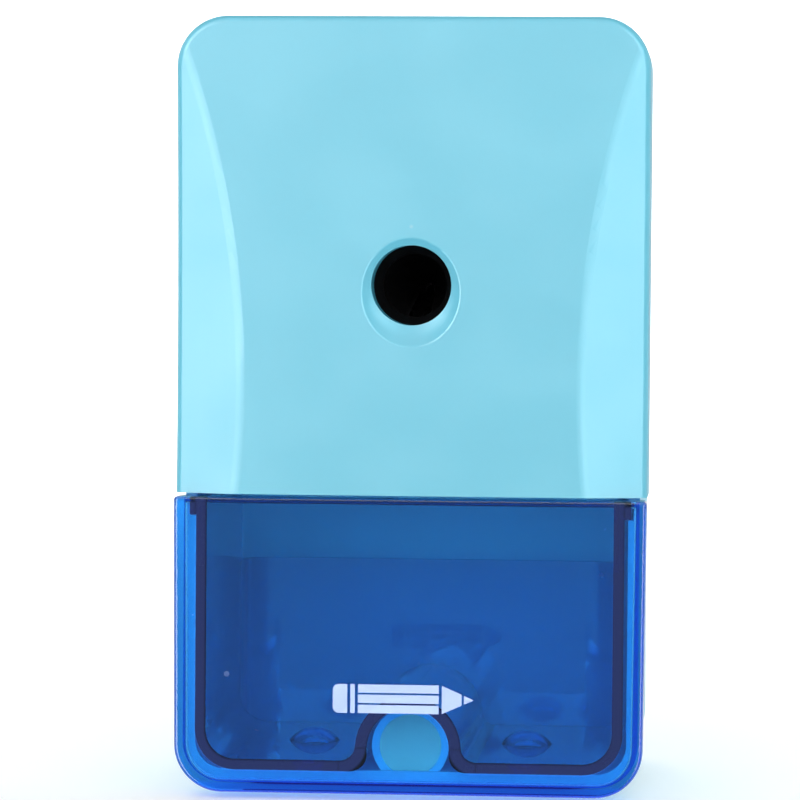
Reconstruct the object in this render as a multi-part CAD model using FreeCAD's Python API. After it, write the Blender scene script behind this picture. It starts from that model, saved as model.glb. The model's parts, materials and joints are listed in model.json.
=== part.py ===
import FreeCAD, Part
import math
import os

# Hand-cranked desk pencil sharpener, millimetres.
# +Z is up, the pencil goes in from the front (-Y), the crank is at the back (+Y).
# The origin is on the table, under the middle of the housing's footprint.
# "Depth" below means the distance behind the front face, so depth 0 is y = FRONT_Y.

Vector = FreeCAD.Vector
BACKWARDS = Vector(0, 1, 0)

# ---------------------------------------------------------------- driving dimensions
FRONT_WIDTH = 62.0          # front cover and drawer front
TOP_HEIGHT = 102.6
BODY_DEPTH = 55.0           # front face to the housing's back face
PANEL_CLEARANCE = 0.8       # drawer front above the table
SEAM_HEIGHT = 40.0          # lower edge of the front cover
SEAM_GAP = 0.4
BODY_INSET = 1.0            # the housing stands in from the front's outline
TOP_CORNER = 6.8
BOTTOM_CORNER = 6.3
SPINDLE_HEIGHT = 67.5       # pencil and crank axis
PENCIL_BORE = 4.2           # radius, for pencils up to 8 mm

COVER_WALL = 2.0
COVER_DEPTH = 14.0
COVER_EDGE_ROUND = 1.0
FACET_TILT = 18.0           # degrees that the side facets fall back
FACET_INSET = 8.7           # widest facet
FACET_RADIUS = 133.0        # crease between front and facet, in front view
FACET_MIDDLE = 54.0         # height where the facet is widest
CREASE_ROUND = 4.0
FRONT_HOLE = 5.25           # radius
DISH_HALF_HEIGHT = 7.1      # oval dish round the hole
DISH_HALF_WIDTH = 6.45
DISH_DROP = 0.95            # the dish sits this much below the hole
DISH_SPHERE = 13.0
DISH_EDGE_ROUND = 0.35
COLLAR_RADIUS = 8.6
COLLAR_END = 5.0
SKIN = 0.6                  # posts end this far under the cover's outside
ROOT = 0.5                  # added parts reach this far into what they stand on

HOUSING_WALL = 1.5
HOUSING_FLOOR = 1.6
HOUSING_BACK = 2.5
HOUSING_FRONT = 5.3         # depth of the drawer bay's front edge
PARTING = 14.2              # depth of the housing's upper front edge
BACK_ROUND = 2.5

DRAWER_FRONT_WALL = 1.8
DRAWER_FRONT_DEPTH = 5.0
DRAWER_RIM = 1.4
DRAWER_DRAFT = 0.3          # the drawer front narrows this much per side to its foot
TRAY_HALF_WIDTH = 28.1
TRAY_WALL = 1.4
TRAY_FLOOR_TOP = 5.1
TRAY_UNDERSIDE = 3.7
TRAY_TOP = 38.9
TRAY_BACK_TOP = 28.5
TRAY_INSIDE_DEPTH = 48.0
TRAY_BACK_CORNER = 6.0
FLANGE_HEIGHT = 1.7
FLANGE_REACH = 28.95        # half width over the tray's top flanges
FLANGE_SLACK = 0.3
FLOOR_DOME_X = 14.5         # two low domes in the tray's floor, hollow underneath
FLOOR_DOME_DEPTH = 25.0
FLOOR_DOME_RADIUS = 3.5
FLOOR_DOME_RISE = 1.9

TUBE_HEIGHT = 6.7           # axis of the clamp socket
TUBE_RADIUS = 5.1
TUBE_FRONT = 6.5            # depth of the tube's front end
TUBE_BORE = 4.0             # radius, for the 8 mm rod of a table clamp
TUBE_STOP = 12.3            # depth where the bore ends, blind
PLUG_RADIUS = 4.1
PLUG_FRONT = 6.8
PLUG_LENGTH = 3.5
PLUG_SPHERE = 14.0          # the plug's face is slightly hollow
PLUG_DIP = 0.75
TUBE_COLLAR = 6.6
COLLAR_SEAT = 1.5
ARCH_INNER = 5.4
ARCH_OUTER = 6.95
PAD_THICKNESS = 1.8
PAD_WIDTH = 48.0
PAD_FRONT = 17.5            # depths of the rubber pad's ends
PAD_BACK = 49.5

# gear train: both gears' cones meet in one point on the spindle axis
CUTTER_TILT = 11.5          # degrees between cutter and spindle
RING_TEETH = 41
PINION_TEETH = 13
PRESSURE_ANGLE = 20.0
BACKLASH = 0.30
POINT_DEPTH = 36.8          # depth of the pencil's point
CUTTER_RADIUS = 6.0
CUTTER_TEETH = 12
CUTTER_TWIST = 100.0        # degrees over the cutter's length
GULLET_DEPTH = 1.0
GULLET_SHARE = 0.35         # where the gullet lies between two edges
CUTTER_REAR = 29.5          # these four are distances from the cones' common point
CUTTER_FRONT = 50.9
PINION_REAR = 51.5
PINION_FRONT = 55.1
CAVITY_RADIUS = 4.4         # room for the pencil inside the cutter carrier
PIN_RADIUS = 1.5
PIN_FRONT = 9.9
PIN_REAR = 43.2
SHAFT_RADIUS = 3.0
RUNNING_GAP = 0.05          # radial play of everything that turns
FIXED_GAP = 0.02            # radial play of what is only slipped on

GUIDE_FRONT = 5.4           # pencil guide
GUIDE_BACK = 11.2
GUIDE_FLANGE = 9.0
GUIDE_OUTER = 5.6
FRAME_FRONT = 7.2           # plate that carries the ring gear
FRAME_BACK = 9.0
FRAME_HALF = 21.5
FRAME_CORNER = 5.0
RING_RADIUS = 19.0          # ring gear
RING_BACK = 17.3
RING_BORE = 17.4
CARRIER_DISC = 14.4
CARRIER_FRONT = 9.6
BARREL_FRONT = 11.4
BARREL_RADIUS = 10.0
BARREL_FLAT = 6.5           # the barrel is cut off this far below the spindle
HUB_RADIUS = 9.0
NECK_RADIUS = 2.6
MESH_DEPTH = 15.6           # depth of the middle of the gear mesh

HUB_FRONT = 38.8            # depths along the spindle, from the carrier's hub back to the knob
SHAFT_FRONT = 44.4
HUB_BACK = 50.4
SHAFT_BACK = 61.0
ARM_FRONT = 57.0
ARM_BACK = 61.6
KNOB_FRONT = 62.5
BEARING_FRONT = 51.3        # rear bearing
BEARING_SEAT = 51.7
BEARING_BACK = 55.7
BEARING_RADIUS = 4.5
BEARING_FLANGE = 6.5
BEARING_BOSS_RADIUS = 8.0
BEARING_RING_RADIUS = 9.5

CRANK_RADIUS = 42.0
KNOB_LENGTH = 21.0
KNOB_PIN_RADIUS = 2.5

# fixings
BOSS_X = 24.6               # posts that join the housing to the cover
BOSS_HEIGHTS = (45.0, 95.0)
POST_RADIUS = 4.2
CASE_SCREW_RADIUS = 1.3
CASE_SCREW_SEAT = 22.0
CASE_SCREW_TIP = 8.0
CASE_ACCESS_RADIUS = 3.0
FRAME_SCREW_OFFSET = 17.0
FRAME_SCREW_RADIUS = 1.1
FRAME_SCREW_TIP = 3.6
FRAME_BOSS_RADIUS = 2.8
LIP_GAP = 0.15              # between the housing's front lip and the cover's inside
LIP_REACH = 2.6
LIP_WALL = 0.7
RAIL_INNER = 26.4           # ledges over the tray's flanges
RAIL_END = 44.0
RAIL_HEIGHT = 1.4

# ---------------------------------------------------------------- worked-out values
FRONT_Y = -BODY_DEPTH / 2
HALF_WIDTH = FRONT_WIDTH / 2
BODY_HALF = HALF_WIDTH - BODY_INSET
BODY_BOTTOM = PANEL_CLEARANCE + BODY_INSET
BODY_TOP = TOP_HEIGHT - BODY_INSET
DRAWER_TOP = SEAM_HEIGHT - SEAM_GAP
TILT = math.radians(CUTTER_TILT)
TEETH_RATIO = RING_TEETH / PINION_TEETH
PINION_CONE = math.atan(math.sin(TILT) / (TEETH_RATIO - math.cos(TILT)))
RING_CONE = PINION_CONE + TILT
APEX_DEPTH = POINT_DEPTH + CUTTER_RADIUS / math.sin(TILT)
KNOB_Z = SPINDLE_HEIGHT - CRANK_RADIUS


# ---------------------------------------------------------------- building blocks
def at(x, depth, z):
    return Vector(x, FRONT_Y + depth, z)


def rounded_wire(corners, depth):
    """Closed outline in a plane of constant depth; corners are (x, z, radius)."""
    count = len(corners)
    starts, ends, middles = [], [], []
    for i in range(count):
        x, z, radius = corners[i]
        here = Vector(x, 0, z)
        before = Vector(corners[i - 1][0], 0, corners[i - 1][1])
        after = Vector(corners[(i + 1) % count][0], 0, corners[(i + 1) % count][1])
        to_before = (before - here).normalize()
        to_after = (after - here).normalize()
        half_angle = to_before.getAngle(to_after) / 2
        run = radius / math.tan(half_angle)
        starts.append(here + to_before * run)
        ends.append(here + to_after * run)
        bisector = (to_before + to_after).normalize()
        middles.append(here + bisector * (radius / math.sin(half_angle) - radius))
    edges = []
    shift = Vector(0, FRONT_Y + depth, 0)
    for i in range(count):
        if corners[i][2] > 0:
            edges.append(Part.Arc(starts[i] + shift, middles[i] + shift, ends[i] + shift).toShape())
        following = starts[(i + 1) % count]
        if ends[i].distanceToPoint(following) > 1e-4:
            edges.append(Part.LineSegment(ends[i] + shift, following + shift).toShape())
    return Part.Wire(edges)


def prism(corners, depth_from, depth_to):
    face = Part.Face(rounded_wire(corners, depth_from))
    return face.extrude(Vector(0, depth_to - depth_from, 0))


def panel(half_width, low, high, low_round, high_round, depth_from, depth_to, draft=0.0):
    """Upright slab with rounded corners, centred on x = 0."""
    foot = half_width - draft
    corners = [
        (-foot, low, low_round),
        (foot, low, low_round),
        (half_width, high, high_round),
        (-half_width, high, high_round),
    ]
    return prism(corners, depth_from, depth_to)


def rod(x, z, radius, depth_from, depth_to):
    return Part.makeCylinder(radius, depth_to - depth_from, at(x, depth_from, z), BACKWARDS)


def ring(x, z, outer, inner, depth_from, depth_to):
    tube = rod(x, z, outer, depth_from, depth_to)
    return tube.cut(rod(x, z, inner, depth_from - 1, depth_to + 1))


def block(x_from, x_to, depth_from, depth_to, z_from, z_to):
    corner = at(x_from, depth_from, z_from)
    return Part.makeBox(x_to - x_from, depth_to - depth_from, z_to - z_from, corner)


def turned(profile, x, z):
    """Solid of revolution about a front-to-back axis; profile is (radius, depth)."""
    points = [at(x + radius, depth, z) for radius, depth in profile]
    face = Part.Face(Part.makePolygon(points + [points[0]]))
    return face.revolve(Vector(x, 0, z), BACKWARDS, 360)


def mirrored(shape):
    return shape.mirror(Vector(0, 0, 0), Vector(1, 0, 0))


def union(shapes):
    result = shapes[0]
    for shape in shapes[1:]:
        result = result.fuse(shape)
    return result.removeSplitter()


def edges_where(shape, test):
    return [edge for edge in shape.Edges if test(edge.BoundBox)]


def group(shapes):
    return Part.makeCompound(shapes)


def cross_recess(x, z, depth_from, depth_to, reach, width):
    upright = block(x - width / 2, x + width / 2, depth_from, depth_to, z - reach, z + reach)
    level = block(x - reach, x + reach, depth_from, depth_to, z - width / 2, z + width / 2)
    return upright.fuse(level)


def screw(x, z, seat, tip, head_radius, head_height, shank_radius):
    """Pan-head screw driven from behind: the shank runs forwards from its seat."""
    head = rod(x, z, head_radius, seat, seat + head_height)
    top = seat + head_height
    rim = edges_where(head, lambda b: b.YMin > FRONT_Y + top - 0.01)
    head = head.makeFillet(head_height * 0.45, rim)
    head = head.cut(cross_recess(x, z, top - head_height * 0.55, top + 1, head_radius * 0.6, 0.6))
    shank = rod(x, z, shank_radius, tip, seat)
    return union([head, shank])


# ---------------------------------------------------------------- front cover
def facet_tool(shift):
    """What lies in front of the right-hand facet: a cone blended into the front plane."""
    tilt = math.radians(FACET_TILT)
    axis_x = HALF_WIDTH - FACET_INSET + FACET_RADIUS
    run = CREASE_ROUND * math.tan(tilt / 2)
    reach = 16.0
    blend = Vector(axis_x - FACET_RADIUS - run, shift + CREASE_ROUND, 0)

    def on_blend(angle):
        return Vector(blend.x + CREASE_ROUND * math.sin(angle), blend.y - CREASE_ROUND * math.cos(angle), 0)

    def placed(point):
        return at(point.x, point.y, FACET_MIDDLE)

    far_x = axis_x - FACET_RADIUS + reach
    far_depth = shift + reach * math.tan(tilt)
    curve = Part.Arc(placed(on_blend(0)), placed(on_blend(tilt / 2)), placed(on_blend(tilt)))
    slope = Part.LineSegment(placed(on_blend(tilt)), at(far_x, far_depth, FACET_MIDDLE))
    outside = Part.LineSegment(at(far_x, far_depth, FACET_MIDDLE), at(far_x, -6, FACET_MIDDLE))
    front = Part.LineSegment(at(far_x, -6, FACET_MIDDLE), at(blend.x, -6, FACET_MIDDLE))
    inside = Part.LineSegment(at(blend.x, -6, FACET_MIDDLE), placed(on_blend(0)))
    wire = Part.Wire([part.toShape() for part in (curve, slope, outside, front, inside)])
    return Part.Face(wire).revolve(Vector(axis_x, 0, FACET_MIDDLE), BACKWARDS, 360)


def cover_block(wall):
    """The cover's outer form, or with a wall its inner form, as a solid block."""
    low = SEAM_HEIGHT - (5 if wall else 0)
    shape = panel(HALF_WIDTH - wall, low, TOP_HEIGHT - wall, 0, TOP_CORNER - wall, wall,
                  COVER_DEPTH + (1 if wall else 0))
    tool = facet_tool(wall)
    return shape.cut(tool).cut(mirrored(tool))


def outline_edges(shape):
    """The front outline of the cover, without its straight lower edge."""
    found = []
    for edge in shape.Edges:
        middle = edge.valueAt((edge.FirstParameter + edge.LastParameter) / 2)
        on_side = abs(middle.x) > HALF_WIDTH - 0.01
        on_top = middle.z > TOP_HEIGHT - TOP_CORNER
        on_corner = on_top and math.hypot(
            abs(middle.x) - HALF_WIDTH + TOP_CORNER, middle.z - TOP_HEIGHT + TOP_CORNER
        ) > TOP_CORNER - 0.01
        on_crown = middle.z > TOP_HEIGHT - 0.01
        in_front = middle.y < FRONT_Y + COVER_DEPTH - 1 and edge.BoundBox.YLength < 6
        if in_front and (on_side or on_corner or on_crown) and middle.z > SEAM_HEIGHT + 0.1:
            found.append(edge)
    return found


def make_front_cover():
    body = cover_block(0)
    body = body.makeFillet(COVER_EDGE_ROUND, outline_edges(body))
    body = body.cut(cover_block(COVER_WALL))
    collar = rod(0, SPINDLE_HEIGHT, COLLAR_RADIUS, COVER_WALL - ROOT, COLLAR_END)
    bosses = [rod(x, z, FRAME_BOSS_RADIUS, COVER_WALL - ROOT, FRAME_FRONT) for x, z in frame_screw_places()]
    posts = []
    for x, z in housing_screw_places():
        post = rod(x, z, POST_RADIUS, COVER_WALL - ROOT, COVER_DEPTH)
        posts.append(post.common(cover_block(SKIN)))
    body = union([body, collar] + bosses + posts)
    body = body.cut(dish_tool())
    body = body.cut(rod(0, SPINDLE_HEIGHT, FRONT_HOLE, -1, COLLAR_END + 1))
    for x, z in frame_screw_places():
        hole = rod(x, z, FRAME_SCREW_RADIUS + FIXED_GAP, FRAME_SCREW_TIP - 0.4, FRAME_FRONT + 1)
        body = body.cut(hole)
    for x, z in housing_screw_places():
        hole = rod(x, z, CASE_SCREW_RADIUS + FIXED_GAP, CASE_SCREW_TIP - 3, COVER_DEPTH + 1)
        body = body.cut(hole)
    rims = edges_where(body, is_dish_rim)
    return body.makeFillet(DISH_EDGE_ROUND, rims)


def dish_tool():
    """A sphere narrowed sideways, so that it cuts the front face in an oval."""
    sunk = math.sqrt(DISH_SPHERE**2 - DISH_HALF_HEIGHT**2)
    narrowing = FreeCAD.Matrix()
    narrowing.scale(DISH_HALF_WIDTH / DISH_HALF_HEIGHT, 1, 1)
    ball = Part.makeSphere(DISH_SPHERE).transformGeometry(narrowing)
    ball.translate(at(0, -sunk, SPINDLE_HEIGHT - DISH_DROP))
    return ball


def is_dish_rim(box):
    in_face = box.YMax < FRONT_Y + 0.01
    small = max(box.XMax, -box.XMin) < DISH_HALF_WIDTH + 0.1
    return in_face and small and box.ZMin > SPINDLE_HEIGHT - 10 and box.ZMax < SPINDLE_HEIGHT + 10


def frame_screw_places():
    reach = FRAME_SCREW_OFFSET
    return [(x, SPINDLE_HEIGHT + z) for x in (-reach, reach) for z in (-reach, reach)]


def housing_screw_places():
    return [(x, z) for x in (-BOSS_X, BOSS_X) for z in BOSS_HEIGHTS]


# ---------------------------------------------------------------- rear housing
def make_rear_housing():
    bottom_round = BOTTOM_CORNER - BODY_INSET
    top_round = TOP_CORNER - BODY_INSET
    shell = panel(BODY_HALF, BODY_BOTTOM, BODY_TOP, bottom_round, top_round, HOUSING_FRONT, BODY_DEPTH)
    back = FRONT_Y + BODY_DEPTH
    rim = edges_where(shell, lambda b: b.YMin > back - 0.01)
    shell = shell.makeFillet(BACK_ROUND, rim)
    inner_half = BODY_HALF - HOUSING_WALL
    inner_low = BODY_BOTTOM + HOUSING_FLOOR
    inner_top = BODY_TOP - HOUSING_WALL
    inside = panel(inner_half, inner_low, inner_top, bottom_round - HOUSING_WALL, top_round - HOUSING_WALL,
                   0, BODY_DEPTH - HOUSING_BACK)
    back_edges = edges_where(inside, lambda b: b.YMin > back - HOUSING_BACK - 0.01)
    inside = inside.makeFillet(BACK_ROUND - HOUSING_WALL, back_edges)
    shell = shell.cut(inside)
    shell = shell.cut(block(-40, 40, 0, PARTING, SEAM_HEIGHT - 0.1, 120))

    # a thin lip inside the cover's rear edge
    inset = COVER_WALL + LIP_GAP
    lip = panel(HALF_WIDTH - inset, 30, TOP_HEIGHT - inset, 0, TOP_CORNER - inset,
                PARTING - LIP_REACH, PARTING + 0.6)
    lip_corner = top_round - HOUSING_WALL - LIP_WALL
    lip = lip.cut(panel(inner_half - LIP_WALL, 20, inner_top - LIP_WALL, 0, lip_corner, 0, BODY_DEPTH))
    lip = lip.cut(block(-40, 40, 0, BODY_DEPTH, 0, SEAM_HEIGHT + 1.4))
    for x, z in housing_screw_places():
        lip = lip.cut(rod(x, z, POST_RADIUS + 0.25, 0, PARTING - 0.1))

    # grooves that the tray's top flanges slide in
    groove_low = TRAY_TOP - FLANGE_HEIGHT - FLANGE_SLACK
    groove_half = FLANGE_REACH + FLANGE_SLACK
    groove = block(-groove_half, groove_half, 0, BODY_DEPTH - HOUSING_BACK - 1,
                   groove_low, TRAY_TOP + FLANGE_SLACK)
    shell = shell.cut(groove)
    rails = []
    for side in (-1, 1):
        inner, outer = sorted((side * RAIL_INNER, side * (BODY_HALF - ROOT)))
        rail_low = TRAY_TOP + FLANGE_SLACK
        rails.append(block(inner, outer, PARTING, RAIL_END, rail_low, rail_low + RAIL_HEIGHT))

    posts = [rod(x, z, POST_RADIUS, PARTING, BODY_DEPTH - 1).common(
        panel(BODY_HALF - 0.4, 0, BODY_TOP - 0.4, 0, top_round - 0.4, 0, BODY_DEPTH))
        for x, z in housing_screw_places()]
    inner_back = BODY_DEPTH - HOUSING_BACK
    boss = rod(0, SPINDLE_HEIGHT, BEARING_BOSS_RADIUS, inner_back - 2.0, BODY_DEPTH - ROOT)
    raised = rod(0, SPINDLE_HEIGHT, BEARING_RING_RADIUS, BODY_DEPTH - ROOT, BODY_DEPTH + 0.3)
    shell = union([shell, lip, boss, raised] + rails + posts)
    for x, z in housing_screw_places():
        shell = shell.cut(rod(x, z, CASE_ACCESS_RADIUS, CASE_SCREW_SEAT, BODY_DEPTH + 1))
        shell = shell.cut(rod(x, z, CASE_SCREW_RADIUS + 0.3, PARTING - 1, CASE_SCREW_SEAT + 1))
    shell = shell.cut(rod(0, SPINDLE_HEIGHT, BEARING_FLANGE + 0.1, inner_back - 3.0, BEARING_SEAT))
    shell = shell.cut(rod(0, SPINDLE_HEIGHT, BEARING_RADIUS, BODY_DEPTH - 8, BODY_DEPTH + 2))

    # seat of the clamp socket, under the front lip of the floor and through the back wall
    shell = shell.cut(rod(0, TUBE_HEIGHT, TUBE_RADIUS, TUBE_FRONT, BODY_DEPTH + 1))
    return shell.cut(rod(0, TUBE_HEIGHT, TUBE_COLLAR, BODY_DEPTH - COLLAR_SEAT, BODY_DEPTH + 1))


def make_clamp_socket():
    tube = rod(0, TUBE_HEIGHT, TUBE_RADIUS, TUBE_FRONT, BODY_DEPTH - 1)
    collar = rod(0, TUBE_HEIGHT, TUBE_COLLAR, BODY_DEPTH - COLLAR_SEAT, BODY_DEPTH)
    body = union([tube, collar])
    body = body.cut(rod(0, TUBE_HEIGHT, TUBE_BORE, TUBE_STOP, BODY_DEPTH + 1))
    body = body.cut(rod(0, TUBE_HEIGHT, PLUG_RADIUS, 0, PLUG_FRONT + PLUG_LENGTH))
    return body.cut(block(-10, 10, 0, BODY_DEPTH + 1, -5, BODY_BOTTOM))


def make_socket_plug():
    plug = rod(0, TUBE_HEIGHT, PLUG_RADIUS, PLUG_FRONT, PLUG_FRONT + PLUG_LENGTH)
    return plug.cut(Part.makeSphere(PLUG_SPHERE, at(0, PLUG_FRONT + PLUG_DIP - PLUG_SPHERE, TUBE_HEIGHT)))


def make_rubber_foot_pad():
    pad = block(-PAD_WIDTH / 2, PAD_WIDTH / 2, PAD_FRONT, PAD_BACK, 0, PAD_THICKNESS)
    upright = [edge for edge in pad.Edges if edge.BoundBox.ZLength > 1]
    pad = pad.makeFillet(5.0, upright)
    foot = [edge for edge in pad.Edges if edge.BoundBox.ZMax < 0.01]
    return pad.makeFillet(0.4, foot)


# ---------------------------------------------------------------- drawer
def tray_section(top, wall, floor, arch, corner, foot_round):
    """Cross-section of the tray with its arched floor, either its outside or its inside."""
    half = TRAY_HALF_WIDTH - wall
    crown = TUBE_HEIGHT + arch
    round_top = arch - 0.001
    return [
        (-half, top, 0),
        (-half, floor, corner),
        (-arch, floor, foot_round),
        (-arch, crown, round_top),
        (arch, crown, round_top),
        (arch, floor, foot_round),
        (half, floor, corner),
        (half, top, 0),
    ]


def plan_prism(half_width, back, corner):
    """Upright prism with rounded rear corners, seen from above, that trims the tray's plan."""
    body = block(-half_width, half_width, -5, back, -5, 80)
    rear = FRONT_Y + back
    upright = edges_where(body, lambda b: b.YMin > rear - 0.01 and b.ZLength > 20)
    return body.makeFillet(corner, upright)


def make_tray():
    back = TRAY_INSIDE_DEPTH + TRAY_WALL
    outer = panel(TRAY_HALF_WIDTH, TRAY_UNDERSIDE, TRAY_TOP, 5.3, 0, 1.0, back)
    outer = outer.common(plan_prism(TRAY_HALF_WIDTH, back, TRAY_BACK_CORNER + TRAY_WALL))
    inside = prism(tray_section(TRAY_TOP + 5, TRAY_WALL, TRAY_FLOOR_TOP, ARCH_OUTER, 3.9, 2.0),
                   DRAWER_FRONT_WALL, TRAY_INSIDE_DEPTH)
    inside = inside.common(plan_prism(TRAY_HALF_WIDTH - TRAY_WALL, TRAY_INSIDE_DEPTH, TRAY_BACK_CORNER))
    tunnel = prism([
        (-ARCH_INNER - 3, TRAY_UNDERSIDE - 1, 0),
        (ARCH_INNER + 3, TRAY_UNDERSIDE - 1, 0),
        (ARCH_INNER + 3, TRAY_UNDERSIDE, 0),
        (ARCH_INNER, TRAY_UNDERSIDE, 2.2),
        (ARCH_INNER, TUBE_HEIGHT + ARCH_INNER, ARCH_INNER - 0.001),
        (-ARCH_INNER, TUBE_HEIGHT + ARCH_INNER, ARCH_INNER - 0.001),
        (-ARCH_INNER, TRAY_UNDERSIDE, 2.2),
        (-ARCH_INNER - 3, TRAY_UNDERSIDE, 0),
    ], DRAWER_FRONT_WALL, back + 1)
    tray = outer.cut(inside).cut(tunnel)
    tray = tray.cut(block(-40, 40, 42, back + 1, TRAY_BACK_TOP, 60))
    hollows = [floor_dome(x, TRAY_WALL) for x in (-FLOOR_DOME_X, FLOOR_DOME_X)]
    flanges = []
    for side in (-1, 1):
        inner, outer_x = sorted((side * (TRAY_HALF_WIDTH - TRAY_WALL), side * FLANGE_REACH))
        flanges.append(block(inner, outer_x, 1.0, 41, TRAY_TOP - FLANGE_HEIGHT, TRAY_TOP))
    domes = [floor_dome(x, 0) for x in (-FLOOR_DOME_X, FLOOR_DOME_X)]
    return union([tray] + flanges + domes).cut(group(hollows))


def floor_dome(x, wall):
    """Cap of a sphere over the floor, or with a wall the hollow under it."""
    radius = (FLOOR_DOME_RADIUS**2 + FLOOR_DOME_RISE**2) / (2 * FLOOR_DOME_RISE)
    ball = Part.makeSphere(radius - wall, at(x, FLOOR_DOME_DEPTH, TRAY_FLOOR_TOP + FLOOR_DOME_RISE - radius))
    foot = TRAY_UNDERSIDE - 1 if wall else TRAY_FLOOR_TOP - ROOT
    return ball.common(block(x - 5, x + 5, FLOOR_DOME_DEPTH - 5, FLOOR_DOME_DEPTH + 5, foot, foot + 5))


def make_drawer_front():
    cap = panel(HALF_WIDTH, PANEL_CLEARANCE, DRAWER_TOP, BOTTOM_CORNER, 0.5,
                0, DRAWER_FRONT_DEPTH, DRAWER_DRAFT)
    outline = edges_where(cap, lambda b: b.YMax < FRONT_Y + 0.01)
    cap = cap.makeFillet(0.5, outline)
    pocket = panel(HALF_WIDTH - DRAWER_RIM, PANEL_CLEARANCE + DRAWER_RIM, DRAWER_TOP - 0.7,
                   BOTTOM_CORNER - DRAWER_RIM, 0.3, DRAWER_FRONT_WALL, DRAWER_FRONT_DEPTH + 1, DRAWER_DRAFT)
    inner = edges_where(pocket, lambda b: b.YMax < FRONT_Y + DRAWER_FRONT_WALL + 0.01)
    pocket = pocket.makeFillet(0.3, inner)
    return cap.cut(pocket)


def make_drawer():
    return union([make_drawer_front(), make_tray()])


# ---------------------------------------------------------------- mechanism, fixed part
def make_pencil_guide():
    profile = [
        (PENCIL_BORE, GUIDE_BACK),
        (PENCIL_BORE, GUIDE_FRONT + 2.2),
        (FRONT_HOLE + 0.15, GUIDE_FRONT),
        (GUIDE_FLANGE, GUIDE_FRONT),
        (GUIDE_FLANGE, FRAME_FRONT),
        (GUIDE_OUTER, FRAME_FRONT),
        (GUIDE_OUTER, GUIDE_BACK),
    ]
    return turned(profile, 0, SPINDLE_HEIGHT)


def make_gear_frame():
    low = SPINDLE_HEIGHT - FRAME_HALF
    high = SPINDLE_HEIGHT + FRAME_HALF
    plate = panel(FRAME_HALF, low, high, FRAME_CORNER, FRAME_CORNER, FRAME_FRONT, FRAME_BACK)
    rim_bore = RING_RADIUS + RUNNING_GAP
    rim = ring(0, SPINDLE_HEIGHT, rim_bore + 1.55, rim_bore, FRAME_BACK - ROOT, FRAME_BACK + 3.0)
    frame = union([plate, rim])
    frame = frame.cut(rod(0, SPINDLE_HEIGHT, GUIDE_OUTER + FIXED_GAP, FRAME_FRONT - 1, FRAME_BACK + 1))
    for x, z in frame_screw_places():
        frame = frame.cut(rod(x, z, FRAME_BOSS_RADIUS + 0.1, FRAME_BACK, FRAME_BACK + 4))
        frame = frame.cut(rod(x, z, FRAME_SCREW_RADIUS + 0.2, FRAME_FRONT - 1, FRAME_BACK + 1))
    return frame


def involute(angle):
    return math.tan(angle) - angle


def gear_points(teeth, pitch, tip, root, tooth_width):
    """Points of a gear outline in its own plane: (radius, angle), one tooth centred on 0."""
    pressure = math.radians(PRESSURE_ANGLE)
    base = pitch * math.cos(pressure)
    radii = [root] + [max(root, base) + (tip - max(root, base)) * k / 3 for k in range(4)]
    flank = []
    for radius in radii:
        roll = math.acos(min(1.0, base / max(radius, base)))
        half = tooth_width / (2 * pitch) + involute(pressure) - involute(roll)
        flank.append((radius, half))
    if flank[0][0] == flank[1][0]:
        flank = flank[1:]
    points = []
    for tooth in range(teeth):
        centre = 2 * math.pi * tooth / teeth
        points += [(radius, centre - half) for radius, half in flank]
        points += [(radius, centre + half) for radius, half in reversed(flank)]
    return points


def gear_cone(points, distance_from, distance_to, distance_pitch):
    """Loft of one outline between two distances from the gears' common point, along -Y."""
    wires = []
    for distance in (distance_from, distance_to):
        scale = distance / distance_pitch
        corners = []
        for radius, angle in points:
            reach = scale * radius
            corners.append(Vector(reach * math.sin(angle), -distance, -reach * math.cos(angle)))
        wires.append(Part.makePolygon(corners + [corners[0]]))
    return Part.makeLoft(wires, True, True)


def apex():
    return at(0, APEX_DEPTH, SPINDLE_HEIGHT)


def gear_sizes():
    """Distance from the common point to the mesh, pitch radii and tooth module."""
    distance = APEX_DEPTH - MESH_DEPTH
    ring_pitch = distance * math.tan(RING_CONE)
    pinion_distance = distance / math.cos(RING_CONE) * math.cos(PINION_CONE)
    pinion_pitch = pinion_distance * math.tan(PINION_CONE)
    module = 2 * ring_pitch / RING_TEETH
    return distance, ring_pitch, pinion_distance, pinion_pitch, module


def make_ring_gear():
    distance, pitch, _, _, module = gear_sizes()
    space = math.pi * module / 2 + BACKLASH / 2
    points = gear_points(RING_TEETH, pitch, pitch + 0.95 * module, pitch - 0.70 * module, space)
    teeth = gear_cone(points, APEX_DEPTH - 18.5, APEX_DEPTH - 8.0, distance)
    teeth.translate(apex())
    body = rod(0, SPINDLE_HEIGHT, RING_RADIUS, FRAME_BACK + 0.05, RING_BACK)
    body = body.cut(teeth)
    return body.cut(rod(0, SPINDLE_HEIGHT, RING_BORE, FRAME_BACK - 1, BARREL_FRONT + 1))


def inclined(shape):
    """Turns a shape made along -Y from the origin onto the cutter's axis."""
    shape.rotate(Vector(0, 0, 0), Vector(1, 0, 0), CUTTER_TILT)
    shape.translate(apex())
    return shape


def inclined_rod(radius, distance_from, distance_to):
    length = distance_to - distance_from
    return inclined(Part.makeCylinder(radius, length, Vector(0, -distance_to, 0), BACKWARDS))


def make_cutter_pinion():
    _, _, distance, pitch, module = gear_sizes()
    width = math.pi * module / 2 - BACKLASH / 2
    points = gear_points(PINION_TEETH, pitch, pitch + 0.70 * module, pitch - 0.95 * module, width)
    gear = inclined(gear_cone(points, PINION_REAR, PINION_FRONT, distance))
    return gear.cut(inclined_rod(NECK_RADIUS, PINION_REAR - 1, PINION_FRONT + 1))


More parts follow.
